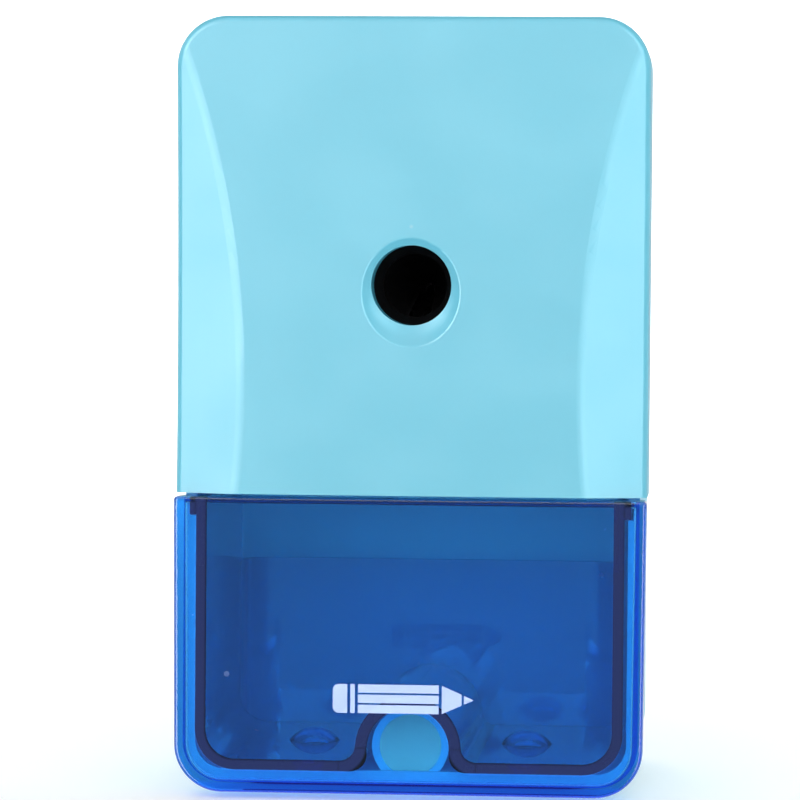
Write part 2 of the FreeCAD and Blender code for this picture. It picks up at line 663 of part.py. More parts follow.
def make_helical_cutter():
    spans = 8
    wires = []
    for step in range(spans + 1):
        share = step / spans
        distance = CUTTER_REAR + share * (CUTTER_FRONT - CUTTER_REAR)
        corners = []
        for tooth in range(CUTTER_TEETH):
            turn = 2 * math.pi * tooth / CUTTER_TEETH + math.radians(CUTTER_TWIST) * share
            gullet = turn + 2 * math.pi / CUTTER_TEETH * GULLET_SHARE
            for radius, angle in ((CUTTER_RADIUS, turn), (CUTTER_RADIUS - GULLET_DEPTH, gullet)):
                corners.append(Vector(radius * math.sin(angle), -distance, -radius * math.cos(angle)))
        wires.append(Part.makePolygon(corners + [corners[0]]))
    blades = inclined(Part.makeLoft(wires, True, True))
    neck = inclined_rod(NECK_RADIUS, CUTTER_FRONT - ROOT, PINION_FRONT)
    bore = inclined_rod(PIN_RADIUS + RUNNING_GAP, CUTTER_REAR - 1, PINION_FRONT + 1)
    return union([blades, neck]).cut(bore)


def make_cutter_washer():
    washer = inclined_rod(2 * PIN_RADIUS + 0.2, CUTTER_REAR - 0.7, CUTTER_REAR - 0.1)
    return washer.cut(inclined_rod(PIN_RADIUS + FIXED_GAP, CUTTER_REAR - 2, CUTTER_REAR + 1))


def make_cutter_pin():
    rear = (APEX_DEPTH - PIN_REAR) / math.cos(TILT)
    front = (APEX_DEPTH - PIN_FRONT) / math.cos(TILT)
    return inclined_rod(PIN_RADIUS, rear, front)


# ---------------------------------------------------------------- mechanism, turning part
def make_cutter_carrier():
    disc = rod(0, SPINDLE_HEIGHT, CARRIER_DISC, CARRIER_FRONT, BARREL_FRONT)
    barrel = rod(0, SPINDLE_HEIGHT, BARREL_RADIUS, BARREL_FRONT, HUB_FRONT)
    barrel = barrel.cut(block(-20, 20, BARREL_FRONT, HUB_FRONT, 0, SPINDLE_HEIGHT - BARREL_FLAT))
    hub = rod(0, SPINDLE_HEIGHT, HUB_RADIUS, HUB_FRONT, HUB_BACK)
    body = union([disc, barrel, hub])
    cone_length = CAVITY_RADIUS / math.tan(TILT)
    cone_start = POINT_DEPTH - cone_length
    cavity = Part.makeCone(CAVITY_RADIUS, 0.05, cone_length, at(0, cone_start, SPINDLE_HEIGHT), BACKWARDS)
    cavity = cavity.fuse(rod(0, SPINDLE_HEIGHT, CAVITY_RADIUS, 8, cone_start + 0.01))
    body = body.cut(cavity)
    guide_seat = GUIDE_OUTER + RUNNING_GAP
    body = body.cut(rod(0, SPINDLE_HEIGHT, guide_seat, CARRIER_FRONT - 1, BARREL_FRONT + 0.1))
    body = body.cut(inclined_rod(CUTTER_RADIUS + 0.4, CUTTER_REAR - 0.75, CUTTER_FRONT + 0.3))
    body = body.cut(inclined_rod(6.15, CUTTER_FRONT - 1, PINION_FRONT + 0.35))
    body = body.cut(inclined_rod(PIN_RADIUS + FIXED_GAP, 20, 60))
    body = union([body, rod(0, SPINDLE_HEIGHT, 4.6, 45.5, HUB_BACK)])
    return body.cut(rod(0, SPINDLE_HEIGHT, SHAFT_RADIUS, SHAFT_FRONT, HUB_BACK + 1))


def make_crank_shaft():
    shaft = rod(0, SPINDLE_HEIGHT, SHAFT_RADIUS, SHAFT_FRONT, SHAFT_BACK)
    return shaft.cut(rod(0, SPINDLE_HEIGHT, 1.25, 53.0, 62))


def make_inner_washer():
    return ring(0, SPINDLE_HEIGHT, 5.6, SHAFT_RADIUS + FIXED_GAP, HUB_BACK + 0.05, BEARING_FRONT - 0.2)


def make_rear_bearing():
    profile = [
        (SHAFT_RADIUS + RUNNING_GAP, BEARING_FRONT),
        (BEARING_FLANGE, BEARING_FRONT),
        (BEARING_FLANGE, BEARING_SEAT),
        (BEARING_RADIUS, BEARING_SEAT),
        (BEARING_RADIUS, BEARING_BACK),
        (SHAFT_RADIUS + RUNNING_GAP, BEARING_BACK),
    ]
    return turned(profile, 0, SPINDLE_HEIGHT)


def make_outer_washer():
    return ring(0, SPINDLE_HEIGHT, 6.2, SHAFT_RADIUS + FIXED_GAP, BEARING_BACK + 0.15, ARM_FRONT - 0.4)


# ---------------------------------------------------------------- crank and knob
def tapered_bar(top_radius, low_radius, depth_from, depth_to):
    """Flat bar with round ends from the spindle down to the knob, its sides tangent to both."""
    lean = math.asin((top_radius - low_radius) / CRANK_RADIUS)
    across, along = math.cos(lean), math.sin(lean)
    top = [(side * top_radius * across, SPINDLE_HEIGHT - top_radius * along) for side in (-1, 1)]
    low = [(side * low_radius * across, KNOB_Z - low_radius * along) for side in (-1, 1)]
    left_top, right_top = (at(x, depth_from, z) for x, z in top)
    left_low, right_low = (at(x, depth_from, z) for x, z in low)
    edges = [
        Part.Arc(left_top, at(0, depth_from, SPINDLE_HEIGHT + top_radius), right_top).toShape(),
        Part.LineSegment(right_top, right_low).toShape(),
        Part.Arc(right_low, at(0, depth_from, KNOB_Z - low_radius), left_low).toShape(),
        Part.LineSegment(left_low, left_top).toShape(),
    ]
    return Part.Face(Part.Wire(edges)).extrude(Vector(0, depth_to - depth_from, 0))


def make_crank_arm():
    arm = tapered_bar(8.6, 6.8, ARM_FRONT, ARM_BACK)
    outline = edges_where(arm, lambda b: b.YMin > FRONT_Y + ARM_BACK - 0.01)
    arm = arm.makeFillet(1.2, outline)
    groove = tapered_bar(6.2, 4.4, ARM_BACK - 0.7, ARM_BACK + 1)
    groove = groove.cut(rod(0, SPINDLE_HEIGHT, 7.4, ARM_BACK - 2, ARM_BACK + 2))
    groove = groove.cut(rod(0, KNOB_Z, 6.2, ARM_BACK - 2, ARM_BACK + 2))
    arm = arm.cut(groove)
    arm = arm.cut(rod(0, SPINDLE_HEIGHT, SHAFT_RADIUS, ARM_FRONT - 1, SHAFT_BACK + FIXED_GAP))
    arm = arm.cut(rod(0, SPINDLE_HEIGHT, 1.6, 60, ARM_BACK + 1))
    return arm.cut(rod(0, KNOB_Z, KNOB_PIN_RADIUS, ARM_FRONT - 1, ARM_BACK + 1))


def make_knob_pin():
    back = KNOB_FRONT + KNOB_LENGTH
    shank = rod(0, KNOB_Z, KNOB_PIN_RADIUS, ARM_FRONT + 0.4, back - 4.6)
    head = rod(0, KNOB_Z, 3.9, back - 4.6, back - 3.4)
    collar = rod(0, KNOB_Z, 3.9, ARM_BACK, ARM_BACK + 0.4)
    return union([shank, head, collar])


def make_crank_knob():
    back = KNOB_FRONT + KNOB_LENGTH
    nose = at(6.4, KNOB_FRONT, KNOB_Z)
    bulge = at(8.3, KNOB_FRONT + KNOB_LENGTH * 0.55, KNOB_Z)
    tail = at(7.0, back, KNOB_Z)
    edges = [
        Part.Arc(nose, bulge, tail).toShape(),
        Part.LineSegment(tail, at(0, back, KNOB_Z)).toShape(),
        Part.LineSegment(at(0, back, KNOB_Z), at(0, KNOB_FRONT, KNOB_Z)).toShape(),
        Part.LineSegment(at(0, KNOB_FRONT, KNOB_Z), nose).toShape(),
    ]
    knob = Part.Face(Part.Wire(edges)).revolve(at(0, 0, KNOB_Z), BACKWARDS, 360)
    ends = [edge for edge in knob.Edges if isinstance(edge.Curve, Part.Circle)]
    knob = knob.makeFillet(0.8, ends)
    knob = knob.cut(rod(0, KNOB_Z, KNOB_PIN_RADIUS + RUNNING_GAP, KNOB_FRONT - 1, back + 1))
    return knob.cut(rod(0, KNOB_Z, 4.6, back - 4.9, back + 1))


def make_knob_cap():
    back = KNOB_FRONT + KNOB_LENGTH
    cap = rod(0, KNOB_Z, 4.58, back - 2.0, back + 0.6)
    rim = edges_where(cap, lambda b: b.YMin > FRONT_Y + back + 0.59)
    return cap.makeFillet(0.5, rim)


def make_screws(places, seat, tip, head_radius, head_height, shank_radius):
    return group([screw(x, z, seat, tip, head_radius, head_height, shank_radius) for x, z in places])


# ---------------------------------------------------------------- all nodes
def make_all():
    return {
        "front_cover": make_front_cover(),
        "rear_housing": make_rear_housing(),
        "clamp_socket": make_clamp_socket(),
        "socket_plug": make_socket_plug(),
        "rubber_foot_pad": make_rubber_foot_pad(),
        "drawer": make_drawer(),
        "pencil_guide": make_pencil_guide(),
        "gear_frame": make_gear_frame(),
        "ring_gear": make_ring_gear(),
        "frame_screws": make_screws(frame_screw_places(), FRAME_BACK, FRAME_SCREW_TIP, 2.2, 1.4,
                                    FRAME_SCREW_RADIUS),
        "housing_screws": make_screws(housing_screw_places(), CASE_SCREW_SEAT, CASE_SCREW_TIP, 2.7, 1.9,
                                      CASE_SCREW_RADIUS),
        "rear_bearing": make_rear_bearing(),
        "cutter_carrier": make_cutter_carrier(),
        "cutter_pin": make_cutter_pin(),
        "helical_cutter": make_helical_cutter(),
        "cutter_pinion": make_cutter_pinion(),
        "cutter_washer": make_cutter_washer(),
        "crank_shaft": make_crank_shaft(),
        "inner_washer": make_inner_washer(),
        "outer_washer": make_outer_washer(),
        "crank_arm": make_crank_arm(),
        "crank_screw": screw(0, SPINDLE_HEIGHT, ARM_BACK, ARM_BACK - 7.5, 3.6, 2.0, 1.2),
        "knob_pin": make_knob_pin(),
        "crank_knob": make_crank_knob(),
        "knob_cap": make_knob_cap(),
    }


os.makedirs("parts", exist_ok=True)
for name, shape in make_all().items():
    shape.exportStep(os.path.join("parts", name + ".step"))
    solids = len(shape.Solids)
    print(f"{name:18s} {solids} solid(s)  {shape.Volume:10.2f} mm3  valid {shape.isValid()}")
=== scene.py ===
import json
import math

import bpy
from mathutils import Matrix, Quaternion, Vector


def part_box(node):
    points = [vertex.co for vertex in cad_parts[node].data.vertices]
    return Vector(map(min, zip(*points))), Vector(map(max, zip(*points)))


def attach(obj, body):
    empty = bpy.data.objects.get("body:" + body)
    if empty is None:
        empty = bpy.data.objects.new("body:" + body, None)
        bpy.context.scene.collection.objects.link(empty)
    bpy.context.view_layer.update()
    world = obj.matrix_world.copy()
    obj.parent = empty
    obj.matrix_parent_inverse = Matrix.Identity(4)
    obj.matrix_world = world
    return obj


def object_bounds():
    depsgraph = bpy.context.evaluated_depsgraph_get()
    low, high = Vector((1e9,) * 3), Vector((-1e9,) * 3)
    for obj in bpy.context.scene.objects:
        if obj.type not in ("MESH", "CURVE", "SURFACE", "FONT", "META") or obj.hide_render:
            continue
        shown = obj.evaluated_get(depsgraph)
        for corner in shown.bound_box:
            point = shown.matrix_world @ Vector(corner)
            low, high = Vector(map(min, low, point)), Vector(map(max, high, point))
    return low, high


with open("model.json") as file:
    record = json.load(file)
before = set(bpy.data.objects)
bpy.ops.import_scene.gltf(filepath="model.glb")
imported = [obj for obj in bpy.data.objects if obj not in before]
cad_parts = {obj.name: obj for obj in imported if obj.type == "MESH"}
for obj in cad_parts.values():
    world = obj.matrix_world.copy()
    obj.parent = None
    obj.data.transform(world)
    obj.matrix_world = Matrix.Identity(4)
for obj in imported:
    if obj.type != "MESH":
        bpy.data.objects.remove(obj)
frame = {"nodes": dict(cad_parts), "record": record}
cad_low, cad_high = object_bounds()
scene = bpy.context.scene
nodes = frame["nodes"]
MM = 0.001


# ---------------------------------------------------------------- shader building blocks
def new_material(name):
    mat = bpy.data.materials.new(name)
    mat.use_nodes = True
    tree = mat.node_tree
    return mat, tree, tree.nodes["Principled BSDF"], tree.nodes["Material Output"]


def add(tree, kind, **sockets):
    """A node of that kind; each keyword sets or links the input socket of that name, with _ for a space."""
    node = tree.nodes.new(kind)
    for name, value in sockets.items():
        put(tree, node.inputs[name.replace("_", " ")], value)
    return node


def put(tree, socket, value):
    if isinstance(value, bpy.types.NodeSocket):
        tree.links.new(value, socket)
    else:
        socket.default_value = value


def math_node(tree, operation, a, b=0.0, c=0.0, clamp=False):
    node = tree.nodes.new("ShaderNodeMath")
    node.operation = operation
    node.use_clamp = clamp
    for socket, value in zip(node.inputs, (a, b, c)):
        put(tree, socket, value)
    return node.outputs[0]


def place(tree, scale=(1, 1, 1), turn=(0, 0, 0)):
    """The piece's own coordinates in metres, stretched."""
    coords = tree.nodes.new("ShaderNodeTexCoord")
    mapping = tree.nodes.new("ShaderNodeMapping")
    mapping.inputs["Scale"].default_value = scale
    mapping.inputs["Rotation"].default_value = turn
    tree.links.new(coords.outputs["Object"], mapping.inputs["Vector"])
    return mapping.outputs["Vector"]


def noise(tree, scale, detail=2.0, rough=0.5, stretch=(1, 1, 1), turn=(0, 0, 0)):
    node = add(tree, "ShaderNodeTexNoise", Vector=place(tree, stretch, turn), Scale=scale, Detail=detail,
               Roughness=rough)
    return node.outputs["Fac"]


def span(tree, value, low, high, to_low=0.0, to_high=1.0):
    """value taken from low..high to to_low..to_high, held at both ends."""
    node = tree.nodes.new("ShaderNodeMapRange")
    node.clamp = True
    names = ("Value", "From Min", "From Max", "To Min", "To Max")
    for name, number in zip(names, (value, low, high, to_low, to_high)):
        put(tree, node.inputs[name], number)
    return node.outputs["Result"]


def blend(tree, factor, first, second):
    node = tree.nodes.new("ShaderNodeMix")
    node.data_type = "RGBA"
    node.clamp_factor = True
    put(tree, node.inputs[0], factor)
    put(tree, node.inputs[6], colour4(first))
    put(tree, node.inputs[7], colour4(second))
    return node.outputs[2]


def colour4(value):
    if isinstance(value, bpy.types.NodeSocket) or len(value) == 4:
        return value
    return (*value, 1.0)


def srgb(red, green, blue):
    """Linear colour of an 8-bit sRGB colour."""
    def linear(share):
        return share / 12.92 if share <= 0.04045 else ((share + 0.055) / 1.055) ** 2.4
    return tuple(linear(c / 255) for c in (red, green, blue))


def scaled(colour, by):
    return tuple(min(1.0, c * by) for c in colour)


def bump(tree, height, distance, strength=1.0, under=None):
    node = add(tree, "ShaderNodeBump", Height=height, Distance=distance, Strength=strength)
    if under is not None:
        tree.links.new(under, node.inputs["Normal"])
    return node.outputs["Normal"]


def specks(tree, scale, share):
    """Sparse small round spots, 1 inside a spot."""
    cell = tree.nodes.new("ShaderNodeTexVoronoi")
    cell.inputs["Scale"].default_value = scale
    tree.links.new(place(tree), cell.inputs["Vector"])
    near = span(tree, cell.outputs["Distance"], 0.10, 0.04)
    separate = add(tree, "ShaderNodeSeparateColor", Color=cell.outputs["Color"])
    chosen = math_node(tree, "LESS_THAN", separate.outputs[0], share)
    return math_node(tree, "MULTIPLY", near, chosen)


def scratches(tree, scale, turn, thin=0.012):
    """Sparse fine lines, 1 on a line."""
    lines = noise(tree, scale, 1.0, 0.4, (1.0, 1.0, 0.05), turn)
    line = span(tree, math_node(tree, "ABSOLUTE", math_node(tree, "SUBTRACT", lines, 0.5)), thin, 0.0)
    patches = span(tree, noise(tree, scale * 0.13, 2.0), 0.56, 0.66)
    return math_node(tree, "MULTIPLY", line, patches)


def edge_share(tree, radius):
    """1 on edges: where the rounded normal differs from the true one."""
    rounded = add(tree, "ShaderNodeBevel", Radius=radius)
    rounded.samples = 4
    true = tree.nodes.new("ShaderNodeNewGeometry")
    dot = tree.nodes.new("ShaderNodeVectorMath")
    dot.operation = "DOT_PRODUCT"
    tree.links.new(rounded.outputs["Normal"], dot.inputs[0])
    tree.links.new(true.outputs["Normal"], dot.inputs[1])
    return span(tree, dot.outputs["Value"], 0.985, 0.80)


# ---------------------------------------------------------------- materials
def plastic(name, colour, rough, grain=0.0, grain_scale=2500.0, vary=0.03, shine=0.5, wear=0.25, ior=1.53):
    """Moulded opaque plastic: colour drift, flow marks, smudges, fine scratches, rubbed edges, dust."""
    mat, tree, shader, _ = new_material(name)
    drift = span(tree, noise(tree, 28.0, 3.0), 0.3, 0.7)
    colour_now = blend(tree, drift, scaled(colour, 1 - vary), scaled(colour, 1 + vary))
    edges = math_node(tree, "MULTIPLY", edge_share(tree, 0.35 * MM), wear)
    edges = math_node(tree, "MULTIPLY", edges, span(tree, noise(tree, 420.0, 4.0), 0.35, 0.65))
    pale = tuple(c + (0.9 - c) * 0.35 for c in colour)
    colour_now = blend(tree, edges, colour_now, pale)
    dust = specks(tree, 260.0, 0.035)
    colour_now = blend(tree, math_node(tree, "MULTIPLY", dust, 0.25), colour_now, (0.75, 0.75, 0.72))
    put(tree, shader.inputs["Base Color"], colour_now)

    smudges = span(tree, noise(tree, 75.0, 5.0, 0.6), 0.45, 0.75, 0.0, 0.09)
    lines = scratches(tree, 900.0, (0.4, 0.2, 0.7))
    roughness = math_node(tree, "ADD", smudges, rough)
    roughness = math_node(tree, "ADD", roughness, math_node(tree, "MULTIPLY", lines, 0.12))
    roughness = math_node(tree, "ADD", roughness, math_node(tree, "MULTIPLY", dust, 0.3), clamp=True)
    put(tree, shader.inputs["Roughness"], roughness)

    peel = bump(tree, noise(tree, 330.0, 2.0), 0.012 * MM, 0.5)
    if grain:
        peel = bump(tree, noise(tree, grain_scale, 2.0, 0.6), grain * MM, 0.7, peel)
    put(tree, shader.inputs["Normal"], bump(tree, lines, 0.004 * MM, 0.6, peel))
    shader.inputs["IOR"].default_value = ior
    shader.inputs["Specular IOR Level"].default_value = shine
    return mat


def metal(name, colour, rough, lay, stain=0.25):
    """Machined steel: fine lines along its lay, uneven shine, a little dark oil in patches."""
    mat, tree, shader, _ = new_material(name)
    lines = noise(tree, 2600.0, 3.0, 0.6, lay)
    patches = span(tree, noise(tree, 160.0, 5.0, 0.65), 0.5, 0.72)
    shade = blend(tree, span(tree, lines, 0.3, 0.7), scaled(colour, 0.82), scaled(colour, 1.12))
    shade = blend(tree, math_node(tree, "MULTIPLY", patches, stain), shade, (0.10, 0.08, 0.06))
    edges = math_node(tree, "MULTIPLY", edge_share(tree, 0.2 * MM), 0.6)
    put(tree, shader.inputs["Base Color"], blend(tree, edges, shade, (0.82, 0.82, 0.83)))
    roughness = math_node(tree, "ADD", span(tree, lines, 0.3, 0.7, rough - 0.06, rough + 0.08),
                          math_node(tree, "MULTIPLY", patches, 0.15))
    put(tree, shader.inputs["Roughness"], roughness)
    put(tree, shader.inputs["Normal"], bump(tree, lines, 0.01 * MM, 0.6))
    shader.inputs["Metallic"].default_value = 1.0
    return mat


def rubber(name):
    mat, tree, shader, _ = new_material(name)
    dusty = span(tree, noise(tree, 110.0, 5.0, 0.65), 0.45, 0.8, 0.0, 0.6)
    put(tree, shader.inputs["Base Color"], blend(tree, dusty, (0.018, 0.018, 0.020), (0.085, 0.08, 0.075)))
    grain = noise(tree, 1900.0, 3.0, 0.65)
    put(tree, shader.inputs["Roughness"], span(tree, grain, 0.3, 0.7, 0.72, 0.92))
    put(tree, shader.inputs["Normal"], bump(tree, grain, 0.05 * MM, 0.8))
    return mat


# dye of the clear drawer: what it takes off per metre, in red, green and blue
DYE = (900.0, 325.0, 92.0)
# painted glow: a stand-in for light scattered in the dyed plastic, given off at its surfaces
GLOW = (0.004, 0.008, 0.014)
# painted glow along the drawer's foot, standing in for light caught in the rim
PAINTED_RIM_GLOW = (0.002, 0.004, 0.16)     # along the drawer's foot
# painted glow on the tops of the floor's two domes
PAINTED_DOME_GLOW = (0.006, 0.040, 0.095)   # on the floor's two domes
# painted glow on the front face, standing in for the lit look of the tray's walls seen end on
PAINTED_WALL_GLOW = (0.020, 0.034, 0.125)   # on the front face, over the ends of the tray's walls

# the tray behind the drawer's front, as in the CAD, which places the painted glows
TRAY_INSET = 2.9 * MM               # in from the front's outline, at its sides and foot
TRAY_CORNER = 5.3 * MM              # outside radius of its bottom corners
TRAY_WALL = 1.4 * MM
FLANGE_REACH = 0.9 * MM             # of its top flanges, beyond its sides
FLANGE_FOOT, FLANGE_TOP = 2.4 * MM, 0.7 * MM        # down from the drawer's top
SOCKET_COLLAR = 6.6 * MM            # radius, which gives the socket's axis
ARCH_INNER, ARCH_OUTER = 5.4 * MM, 6.95 * MM
ARCH_REACH = 9.0 * MM               # half width of the arch with its feet
FOOT_INNER, FOOT_OUTER = 2.0 * MM, 3.5 * MM         # radii of the curves from arch to floor
FOOT_CENTRE_X, FOOT_CENTRE_UP = 8.95 * MM, 3.4 * MM
FOOT_TOP = 3.2 * MM
DOME_X, DOME_DEPTH = 14.5 * MM, 25.0 * MM
DOME_FOOT, DOME_TOP = 4.35 * MM, 6.4 * MM           # up from the drawer's foot
RIM_TOP = 1.3 * MM


def between(tree, value, low, high):
    """1 where value lies between low and high, with soft ends."""
    soft = 0.15 * MM
    rise = span(tree, value, low - soft, low + soft)
    return math_node(tree, "MULTIPLY", rise, span(tree, value, high + soft, high - soft))


def corner_reach(tree, across, up, centre_across, centre_up):
    """Distance outside a corner's centre: along one axis beside it, straight out round it."""
    over = math_node(tree, "MAXIMUM", math_node(tree, "SUBTRACT", across, centre_across))
    under = math_node(tree, "MAXIMUM", math_node(tree, "SUBTRACT", centre_up, up))
    over, under = (math_node(tree, "POWER", reach, 2.0) for reach in (over, under))
    squares = math_node(tree, "ADD", over, under)
    return math_node(tree, "SQRT", squares)


def painted_wall_glow_mask(tree):
    """1 on the drawer's front face where the tray's side walls, floor and arch stand end on behind it: where
    the painted wall glow goes.
    """
    low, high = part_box("drawer")
    tube_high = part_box("clamp_socket")[1]
    coords = tree.nodes.new("ShaderNodeTexCoord")
    parts = add(tree, "ShaderNodeSeparateXYZ", Vector=coords.outputs["Object"])
    aside = math_node(tree, "ABSOLUTE", parts.outputs["X"])
    up = parts.outputs["Z"]
    half = (high.x - low.x) / 2 - TRAY_INSET
    floor_low, tube_z = low.z + TRAY_INSET, tube_high.z - SOCKET_COLLAR

    # side walls, round corners and floor, by the distance from the corners' centres
    shell = corner_reach(tree, aside, up, half - TRAY_CORNER, floor_low + TRAY_CORNER)
    shell = math_node(tree, "MULTIPLY", between(tree, shell, TRAY_CORNER - TRAY_WALL, TRAY_CORNER),
                      between(tree, aside, ARCH_REACH, 1.0))
    flange = math_node(tree, "MULTIPLY", between(tree, aside, half, half + FLANGE_REACH),
                       between(tree, up, high.z - FLANGE_FOOT, high.z - FLANGE_TOP))
    arch = corner_reach(tree, aside, math_node(tree, "MULTIPLY", up, -1.0), 0.0, -tube_z)
    arch = math_node(tree, "MULTIPLY", between(tree, arch, ARCH_INNER, ARCH_OUTER),
                     between(tree, up, floor_low + FOOT_TOP, 1.0))
    inward = math_node(tree, "MULTIPLY", aside, -1.0)
    foot = corner_reach(tree, inward, up, -FOOT_CENTRE_X, floor_low + FOOT_CENTRE_UP)
    foot = math_node(tree, "MULTIPLY", between(tree, foot, FOOT_INNER, FOOT_OUTER),
                     between(tree, aside, 0.0, ARCH_REACH))
    foot = math_node(tree, "MULTIPLY", foot, between(tree, up, 0.0, floor_low + FOOT_TOP))
    ends = math_node(tree, "MAXIMUM", math_node(tree, "MAXIMUM", shell, flange),
                     math_node(tree, "MAXIMUM", arch, foot))
    front = span(tree, parts.outputs["Y"], low.y + 0.3 * MM, low.y + 0.1 * MM)
    return math_node(tree, "MULTIPLY", ends, front)


def painted_dome_glow_mask(tree):
    """1 on the top of the two low domes in the tray's floor, fading to 0 at their sides: where the painted
    dome glow goes.
    """
    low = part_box("drawer")[0]
    coords = tree.nodes.new("ShaderNodeTexCoord")
    parts = add(tree, "ShaderNodeSeparateXYZ", Vector=coords.outputs["Object"])
    aside = math_node(tree, "SUBTRACT", math_node(tree, "ABSOLUTE", parts.outputs["X"]), DOME_X)
    aside = span(tree, math_node(tree, "ABSOLUTE", aside), 3.2 * MM, 1.8 * MM)
    deep = math_node(tree, "ABSOLUTE", math_node(tree, "SUBTRACT", parts.outputs["Y"], low.y + DOME_DEPTH))
    deep = span(tree, deep, 3.6 * MM, 3.3 * MM)
    over = between(tree, parts.outputs["Z"], low.z + DOME_FOOT, low.z + DOME_TOP)
    return math_node(tree, "MULTIPLY", math_node(tree, "MULTIPLY", aside, deep), over)


def clear_plastic(name):
    """Clear moulded plastic, dyed in the mass, with faint flow waves, fine scratches and dust, and painted
    glow given off at its surfaces.
    """
    mat, tree, shader, out = new_material(name)
    shader.inputs["Base Color"].default_value = (1, 1, 1, 1)
    shader.inputs["Transmission Weight"].default_value = 1.0
    shader.inputs["IOR"].default_value = 1.57
    lines = scratches(tree, 620.0, (0.3, 0.1, 1.1), 0.008)
    dust = specks(tree, 210.0, 0.03)
    haze = span(tree, noise(tree, 60.0, 4.0, 0.6), 0.5, 0.8, 0.0, 0.03)
    marks = math_node(tree, "MAXIMUM", math_node(tree, "MULTIPLY", lines, 0.25),
                      math_node(tree, "MULTIPLY", dust, 0.6))
    put(tree, shader.inputs["Roughness"], math_node(tree, "ADD", math_node(tree, "ADD", haze, marks), 0.015))
    waves = bump(tree, noise(tree, 130.0, 1.0), 0.01 * MM, 0.5)
    put(tree, shader.inputs["Normal"], bump(tree, marks, 0.006 * MM, 0.7, waves))
    # painted glow all over the drawer, brighter on the front face over the ends of the tray's walls
    lit = blend(tree, painted_wall_glow_mask(tree), GLOW, PAINTED_WALL_GLOW)
    coords = tree.nodes.new("ShaderNodeTexCoord")
    height = add(tree, "ShaderNodeSeparateXYZ", Vector=coords.outputs["Object"]).outputs["Z"]
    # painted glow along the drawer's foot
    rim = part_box("drawer")[0].z + RIM_TOP
    lit = blend(tree, span(tree, height, rim + 0.2 * MM, rim - 0.2 * MM), lit, PAINTED_RIM_GLOW)
    # painted glow on the tops of the floor's two domes
    lit = blend(tree, painted_dome_glow_mask(tree), lit, PAINTED_DOME_GLOW)
    # dust specks, painted as glowing light dots
    glowing_dust_specks = math_node(tree, "MULTIPLY", specks(tree, 430.0, 0.02), 0.8)
    # the painted glows go out as emission, though the drawer is no lamp
    put(tree, shader.inputs["Emission Color"], blend(tree, glowing_dust_specks, lit, (0.10, 0.20, 0.42)))
    shader.inputs["Emission Strength"].default_value = 1.0
    density = max(DYE)
    absorb = add(tree, "ShaderNodeVolumeAbsorption", Density=density,
                 Color=(*[1 - d / density for d in DYE], 1.0))
    tree.links.new(absorb.outputs["Volume"], out.inputs["Volume"])

    # lamps shine straight through, so that what is inside is lit
    through = add(tree, "ShaderNodeBsdfTransparent", Color=(1.0, 1.0, 1.0, 1.0))
    rays = tree.nodes.new("ShaderNodeLightPath")
    either = add(tree, "ShaderNodeMixShader", Fac=rays.outputs["Is Shadow Ray"])
    tree.links.new(shader.outputs["BSDF"], either.inputs[1])
    tree.links.new(through.outputs["BSDF"], either.inputs[2])
    tree.links.new(either.outputs["Shader"], out.inputs["Surface"])
    return mat


COVER_BLUE = (0.090, 0.500, 0.66)
HOUSING_BLUE = (0.19, 0.66, 0.84)
SOCKET_BLUE = srgb(150, 236, 254)
BLACK = (0.012, 0.012, 0.014)
NATURAL = (0.62, 0.60, 0.54)
STEEL = (0.56, 0.57, 0.59)
ALONG = (1.0, 0.04, 1.0)
ROUND = (1.0, 14.0, 1.0)

looks = {
    "cover": plastic("cover_gloss", COVER_BLUE, 0.36, shine=0.9, vary=0.012),
    "housing": plastic("housing_satin", HOUSING_BLUE, 0.34, grain=0.02, vary=0.02),
    "socket": plastic("socket_gloss", SOCKET_BLUE, 0.22),
    "plug": plastic("plug_grey", srgb(248, 236, 198), 0.42, grain=0.01),
    "guide": plastic("guide_black", scaled(BLACK, 0.4), 0.30, grain=0.01, vary=0.2),
    "frame": plastic("frame_black", BLACK, 0.42, grain=0.03, vary=0.2),
    "gear": plastic("gear_natural", NATURAL, 0.36, grain=0.01),
    "bearing": plastic("bearing_natural", NATURAL, 0.34, grain=0.01),
    "carrier": plastic("carrier_black", BLACK, 0.40, grain=0.03, vary=0.2),
    "arm": plastic("arm_satin", HOUSING_BLUE, 0.32, grain=0.015, vary=0.02),
    "knob": plastic("knob_gloss", srgb(24, 70, 178), 0.22, vary=0.05),
    "knob_cap": plastic("knob_cap_gloss", HOUSING_BLUE, 0.24),
    "screw": metal("screw_zinc", (0.66, 0.67, 0.68), 0.26, ROUND, 0.12),
    "steel": metal("steel_ground", STEEL, 0.28, ROUND, 0.2),
    "cutter": metal("cutter_steel", (0.42, 0.43, 0.45), 0.34, ALONG, 0.45),
    "pinion": metal("pinion_steel", (0.46, 0.46, 0.48), 0.40, ALONG, 0.4),
    "pad": rubber("pad_rubber"),
    "drawer": clear_plastic("drawer_clear"),
}
ink = plastic("ink_white", (0.47, 0.55, 0.79), 0.5, grain=0.01, wear=0.0)

slot_of = {s["node"]: s["material_slot"] for s in frame["record"]["subparts"]}
for name, piece in nodes.items():
    piece.data.materials.clear()
    piece.data.materials.append(looks[slot_of[name]])


# ---------------------------------------------------------------- printed pencil sign
def slab(outline, front, back):
    """Points and faces of an upright flat shape; outline is (x, z), anticlockwise from the front."""
    count = len(outline)
    points = [(x, front, z) for x, z in outline] + [(x, back, z) for x, z in outline]
    faces = [tuple(range(count)), tuple(range(2 * count - 1, count - 1, -1))]
    faces += [(k, k + count, (k + 1) % count + count, (k + 1) % count) for k in range(count)]
    return points, faces


def arc(x, z, radius, start, end, steps=10):
    angles = [math.radians(start + (end - start) * k / steps) for k in range(steps + 1)]
    return [(x + radius * math.cos(a), z + radius * math.sin(a)) for a in angles]


